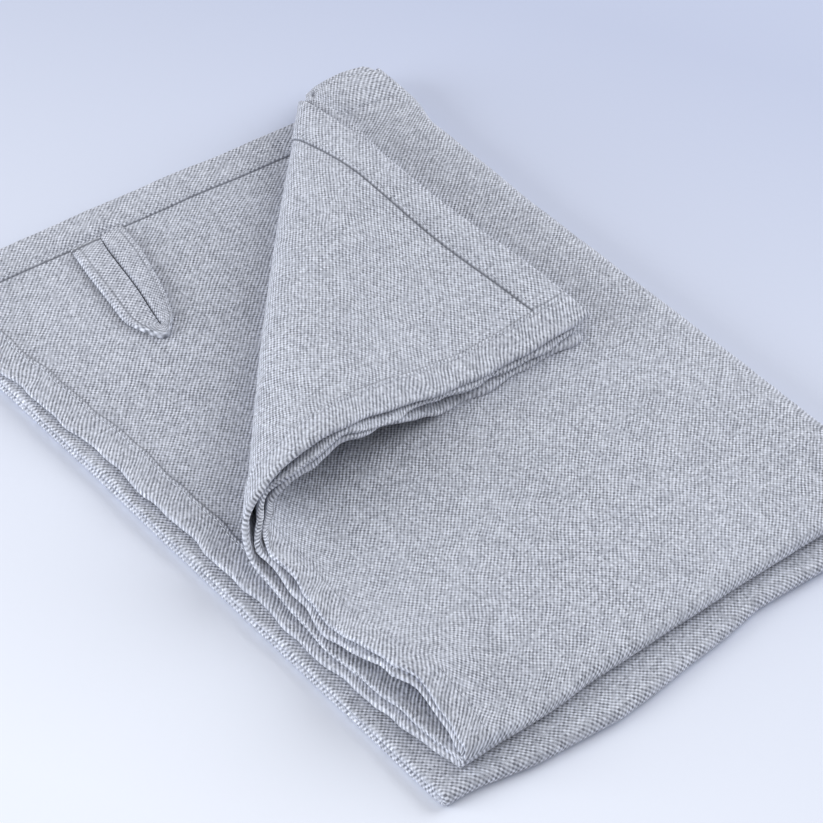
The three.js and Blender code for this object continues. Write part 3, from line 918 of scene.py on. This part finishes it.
def towel_weave(nodes, u_place, v_place, finish):
    """The towel's weave, out of step on the turned hems, with painted shade along the hems' steps and
    stitch lines.

    Gives the places in threads, the height, the colour, and the painted shade of the lines.
    """
    wrong = nodes.add("ShaderNodeAttribute", {"attribute_name": "wrong_side"}, {})["Fac"]
    from_long = u_place.at_most(TOWEL_WIDTH * MM - u_place)
    from_short = v_place.at_most(TOWEL_LENGTH * MM - v_place)
    on_long = (WIDE_HEM * MM - from_long).over(0.0)
    on_short = (NARROW_HEM * MM - from_short).over(0.0)
    on_hem = on_long.at_least(on_short) * wrong.over(0.5)
    u, v = in_threads(u_place, v_place, finish)
    u = u + on_hem * (v * 0.035 + 0.4)
    v = v + on_hem * (u * 0.02 + 0.3)

    on_narrow = inside(from_short, NARROW_HEM * MM, NARROW_FADE * MM)
    past_narrow = 1.0 - on_narrow
    # Painted shade: soft dark lines where shade falls at the hems' steps and in their stitch troughs.
    wide_step_shade = soft_line(from_long, (WIDE_HEM + STEP_OFFSET) * MM, WIDE_STEP_LINE * MM)
    narrow_step_shade = soft_line(from_short, (NARROW_HEM + STEP_OFFSET) * MM, HEM_LINE * MM)
    wide_sewn_shade = soft_line(from_long, (WIDE_HEM - SEW_INSET) * MM, HEM_LINE * MM)
    narrow_sewn_shade = soft_line(from_short, (NARROW_HEM - SEW_INSET) * MM, HEM_LINE * MM)
    step_shade = (wide_step_shade * past_narrow).at_least(narrow_step_shade * NARROW_STEP_SHADE_SHARE)
    sewn = (wide_sewn_shade * past_narrow).at_least(narrow_sewn_shade * NARROW_SEWN_SHADE_SHARE)
    # Painted shade of the steps, on the wrong side only, and of the stitch troughs.
    painted_line_shade = (step_shade * wrong * STEP_PAINTED_SHADE + sewn * SEWN_PAINTED_SHADE).clamped()

    # The ribs run one way in two opposite quarters of the cloth, and the other way in the rest.
    same_way = ((u_place - TOWEL_WIDTH / 2 * MM) * (v_place - TOWEL_LENGTH / 2 * MM)).over(0.0)
    ribbed = on_narrow * (NARROW_RIBBED - finish.ribbed) + finish.ribbed
    height, colour = woven(nodes, u, v, finish, ribbed, same_way * 2.0 - 1.0)
    return u, v, height, colour, painted_line_shade


def tape_weave(nodes, u_place, v_place, finish):
    """The tape's weave, with painted shade along its sewn line and at its ends."""
    u, v = in_threads(u_place, v_place, finish)
    # Painted shade across the tape's ends, where the hem's step runs over it, and along its sewn line.
    from_end = v_place.at_most(LOOP_LENGTH * MM - v_place)
    ends = soft_line(from_end, TAPE_END_LINE * MM, TAPE_END_WIDTH * MM) * TAPE_END_PAINTED_SHADE
    painted_line_shade = ends.at_least(soft_line(u_place, TAPE_SEWN_LINE * MM, HEM_LINE * MM) * SEWN_PAINTED_SHADE)
    height, colour = woven(nodes, u, v, finish)
    return u, v, height, colour, painted_line_shade


def linen_material(name, finish, weave):
    """Washed linen: its weave with painted shade in the hollows and along the hems' lines, flecks, and
    paler patches.
    """
    nodes = Nodes(name)
    flat = nodes.split(nodes.add("ShaderNodeUVMap", {"uv_map": "flat_cloth"}, {})["UV"])
    u_place, v_place = flat["X"], flat["Y"]
    u, v, height, colour, painted_line_shade = weave(nodes, u_place, v_place, finish)
    fleck = nodes.noise(nodes.place(u * FLECK_SCALE, v * FLECK_SCALE, 20.0), 1.0, 1.0)
    light_fleck = ((fleck - LIGHT_FLECKS_OVER) * FLECK_EDGE).clamped() * FLECK_STRENGTH
    dark_fleck = ((DARK_FLECKS_UNDER - fleck) * FLECK_EDGE).clamped() * FLECK_STRENGTH
    colour = nodes.blend(light_fleck, colour, four(finish.fleck_light))
    colour = nodes.blend(dark_fleck, colour, four(finish.fleck_dark))
    wash = nodes.noise(nodes.place(u_place * WASH_SCALE, v_place * WASH_SCALE, 3.0), 1.0, 3.0)
    washed = (wash - 0.5) * WASH_CHANGE + WASH_SHARE
    colour = nodes.blend(washed, colour, four(finish.washed))
    # Painted shade along the hems' steps and stitch lines.
    colour = nodes.blend(painted_line_shade, colour, four(finish.painted_shade_colour))
    roughness = 0.9 + (wash - 0.5) * 0.1
    return nodes.shade(colour, roughness, height, finish.weave_depth, finish.sheen)


def thread_material(finish):
    """Sewing thread in the towel's own colour."""
    nodes = Nodes("sewing_thread")
    tone = nodes.noise(nodes.object_place(), THREAD_GRAIN, 2.0)
    colour = nodes.blend(tone, four(finish.thread_dark), four(finish.thread_light))
    return nodes.shade(colour, 0.75 + (tone - 0.5) * 0.2, tone, THREAD_RELIEF, finish.sheen)


def floor_material(stage):
    """The pale floor, with painted light that falls off softly from the front to the back."""
    nodes = Nodes("pale_floor")
    place = nodes.object_place()
    parts = nodes.split(place)
    away = parts["Y"] * AWAY_Y + parts["X"] * AWAY_X
    across = parts["X"] * AWAY_Y - parts["Y"] * AWAY_X
    # Painted light: the floor is painted lighter near the front and darker towards the back.
    share = ((away + across * 0.5) * stage.falloff + 0.45).clamped()
    colour = nodes.blend(share, four(stage.floor_near_painted_light), four(stage.floor_far_painted_shade))
    grain = nodes.noise(place, FLOOR_GRAIN, 3.0)
    return nodes.shade(colour, 0.8 + (grain - 0.5) * 0.1, grain, FLOOR_RELIEF)


def give(piece, material):
    """Gives a piece one material in place of any others."""
    piece.data.materials.clear()
    piece.data.materials.append(material)


# ---- The add-on ----
def colour_property(name, description, value):
    return FloatVectorProperty(
        name=name, description=description, default=value, size=3, subtype="COLOR", min=0, max=1,
    )


def number_property(name, description, value, most, least=0.0, **settings):
    return FloatProperty(
        name=name, description=description, default=value, min=least, max=most, **settings,
    )


class TowelSizes(bpy.types.PropertyGroup):
    fineness: number_property(
        "Fineness", "Spacing of the cutting lines where the cloth shows, in mm", 2.6, 12.0, least=2.0,
    )


class TowelFinish(bpy.types.PropertyGroup):
    thread_pitch: number_property(
        "Thread pitch", "Distance from one thread to the next",
        0.0007, 0.003, least=0.0003, unit="LENGTH", precision=5,
    )
    weave_depth: number_property(
        "Weave depth", "How far the threads stand out", 0.00014, 0.001, unit="LENGTH", precision=5,
    )
    waviness: number_property("Waviness", "How far the threads wander, in threads", 2.0, 8.0)
    # Contrast sets the depth of the weave's relief and of its painted shade.
    contrast: number_property("Contrast", "How far the crossings stand out in tone", 0.98, 2.0)
    ribbed: number_property(
        "Ribbed", "How far the weave leans into slanting ribs", 0.28, 1.0, subtype="FACTOR",
    )
    slubs: number_property("Slubs", "How uneven the threads are in thickness", 0.35, 2.0)
    speckle: number_property("Speckle", "How far single crossings differ", 0.42, 2.0)
    sheen: number_property("Sheen", "Softness of the fibres' edges", 0.15, 1.0, subtype="FACTOR")
    yarn_light: colour_property("Yarn, light", "Lightest yarn", (0.86, 0.895, 0.995))
    yarn_dark: colour_property("Yarn, dark", "Darkest yarn", (0.69, 0.725, 0.83))
    # Painted shade: the dark colour painted into the weave's hollows and along the hems' step and stitch
    # lines.
    painted_shade_colour: colour_property("Hollows", "Where a thread dips under another", (0.105, 0.113, 0.14))
    fleck_light: colour_property("Light flecks", "Pale knots of fibre", (0.95, 0.97, 1.0))
    fleck_dark: colour_property("Dark flecks", "Dark bits of fibre", (0.16, 0.15, 0.15))
    washed: colour_property("Washed", "Where the cloth is washed paler", (0.68, 0.72, 0.82))
    thread_light: colour_property("Thread, light", "Sewing thread, light", (0.84, 0.88, 0.98))
    thread_dark: colour_property("Thread, dark", "Sewing thread, dark", (0.54, 0.57, 0.64))


class TowelStage(bpy.types.PropertyGroup):
    # The floor's pale colour carries painted light: lit near the front and shaded furthest back.
    floor_near_painted_light: colour_property(
        "Floor, near", "Colour of the floor nearest the front", (0.87, 0.91, 1.0),
    )
    floor_far_painted_shade: colour_property(
        "Floor, far", "Colour of the floor furthest back", (0.53, 0.58, 0.74),
    )
    falloff: number_property("Falloff", "How fast the floor's tone changes", 2.38, 5.0)
    daylight: colour_property("Daylight", "Colour of the light all round", (1.0, 0.975, 0.965))
    lamplight: colour_property("Lamplight", "Colour of the lamps", (0.93, 0.96, 1.0))
    daylight_level: number_property("Daylight level", "Strength of the light all round", 0.48, 3.0)
    back_power: number_property("Back lamp", "Power of the lamp behind", 17.6, 500.0, unit="POWER")
    front_power: number_property(
        "Front lamp", "Power of the low lamp in front", 18.0, 500.0, unit="POWER",
    )


class TOWEL_OT_cloth(bpy.types.Operator):
    """Folds the towel and turns its corner back"""

    bl_idname = "towel.cloth"
    bl_label = "Fold the towel"

    def execute(self, context):
        scene = context.scene
        towel = make_towel(scene.towel_sizes)
        give(towel, linen_material("washed_linen", scene.towel_finish, towel_weave))
        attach(towel, BODY)
        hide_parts("hand_towel")
        return {"FINISHED"}


class TOWEL_OT_stitches(bpy.types.Operator):
    """Sews the hems"""

    bl_idname = "towel.stitches"
    bl_label = "Sew the hems"

    def execute(self, context):
        stitches = make_stitches()
        give(stitches, thread_material(context.scene.towel_finish))
        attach(stitches, BODY)
        return {"FINISHED"}


class TOWEL_OT_loop(bpy.types.Operator):
    """Sews on the hanging loop"""

    bl_idname = "towel.loop"
    bl_label = "Sew on the loop"

    def execute(self, context):
        loop = make_loop()
        give(loop, linen_material("loop_linen", context.scene.towel_finish, tape_weave))
        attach(loop, BODY)
        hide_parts("hanging_loop")
        return {"FINISHED"}


# ---- The stage, in metres: lamps by size and place, and the camera's place, aim and lens ----
FLOOR_SIZE = 8.0
BACK_LAMP = (1.5, (0.24, 1.18, 0.72))
FRONT_LAMP = (1.1, (-0.45, -1.2, 0.33))
CAMERA_PLACE = Vector((0.5163, -0.4144, 0.5760))
CAMERA_AIM = Vector((0.0064, 0.0014, 0.0))
CAMERA_LENS = 131.23
CAMERA_SENSOR = 36.0


def look_at(holder, aim):
    """Turns a lamp or camera at its place so that it faces a point."""
    holder.rotation_euler = (aim - holder.location).to_track_quat("-Z", "Y").to_euler()


class TOWEL_OT_stage(bpy.types.Operator):
    """Lays the floor, hangs the lamps and sets up the camera"""

    bl_idname = "towel.stage"
    bl_label = "Set the stage"

    def execute(self, context):
        scene = context.scene
        stage = scene.towel_stage
        bpy.ops.object.select_all(action="DESELECT")
        bpy.ops.mesh.primitive_plane_add(size=FLOOR_SIZE, location=(0, 0, 0))
        floor = context.active_object
        floor.name = "floor"
        give(floor, floor_material(stage))

        world = bpy.data.worlds.new("daylight")
        world.use_nodes = True
        background = world.node_tree.nodes["Background"]
        background.inputs["Color"].default_value = four(stage.daylight)
        background.inputs["Strength"].default_value = stage.daylight_level
        scene.world = world

        for name, power, (size, place) in (
            ("back_lamp", stage.back_power, BACK_LAMP),
            ("front_lamp", stage.front_power, FRONT_LAMP),
        ):
            lamp = bpy.data.lights.new(name, "AREA")
            lamp.shape = "DISK"
            lamp.size = size
            lamp.energy = power
            lamp.color = stage.lamplight
            holder = bpy.data.objects.new(name, lamp)
            scene.collection.objects.link(holder)
            holder.location = place
            look_at(holder, Vector((0, 0, 0)))

        camera = bpy.data.cameras.new("camera")
        camera.sensor_width = CAMERA_SENSOR
        camera.lens = CAMERA_LENS
        camera.clip_start = 0.01
        eye = bpy.data.objects.new("camera", camera)
        scene.collection.objects.link(eye)
        eye.location = CAMERA_PLACE
        look_at(eye, CAMERA_AIM)
        scene.camera = eye
        scene.view_settings.view_transform = "Standard"
        return {"FINISHED"}


class TOWEL_PT_panel(bpy.types.Panel):
    """Lists the sizes, the finish, the stage and the operators"""

    bl_idname = "TOWEL_PT_panel"
    bl_label = "Linen hand towel"
    bl_space_type = "VIEW_3D"
    bl_region_type = "UI"
    bl_category = "Towel"

    def draw(self, context):
        layout = self.layout
        for group in (context.scene.towel_sizes, context.scene.towel_finish, context.scene.towel_stage):
            column = layout.column(align=True)
            for name in group.__annotations__:
                column.prop(group, name)
        for operator in OPERATORS:
            layout.operator(operator.bl_idname)


GROUPS = (TowelSizes, TowelFinish, TowelStage)

# In the order they run.
OPERATORS = (TOWEL_OT_stitches, TOWEL_OT_cloth, TOWEL_OT_loop, TOWEL_OT_stage)
CLASSES = (*GROUPS, *OPERATORS, TOWEL_PT_panel)


def register():
    for cls in CLASSES:
        bpy.utils.register_class(cls)
    bpy.types.Scene.towel_sizes = PointerProperty(type=TowelSizes)
    bpy.types.Scene.towel_finish = PointerProperty(type=TowelFinish)
    bpy.types.Scene.towel_stage = PointerProperty(type=TowelStage)


def unregister():
    del bpy.types.Scene.towel_stage
    del bpy.types.Scene.towel_finish
    del bpy.types.Scene.towel_sizes
    for cls in reversed(CLASSES):
        bpy.utils.unregister_class(cls)


def main():
    """Makes everything in order."""
    register()
    bpy.ops.towel.stitches()
    bpy.ops.towel.cloth()
    bpy.ops.towel.loop()
    bpy.ops.towel.stage()


if __name__ == "__main__":
    main()
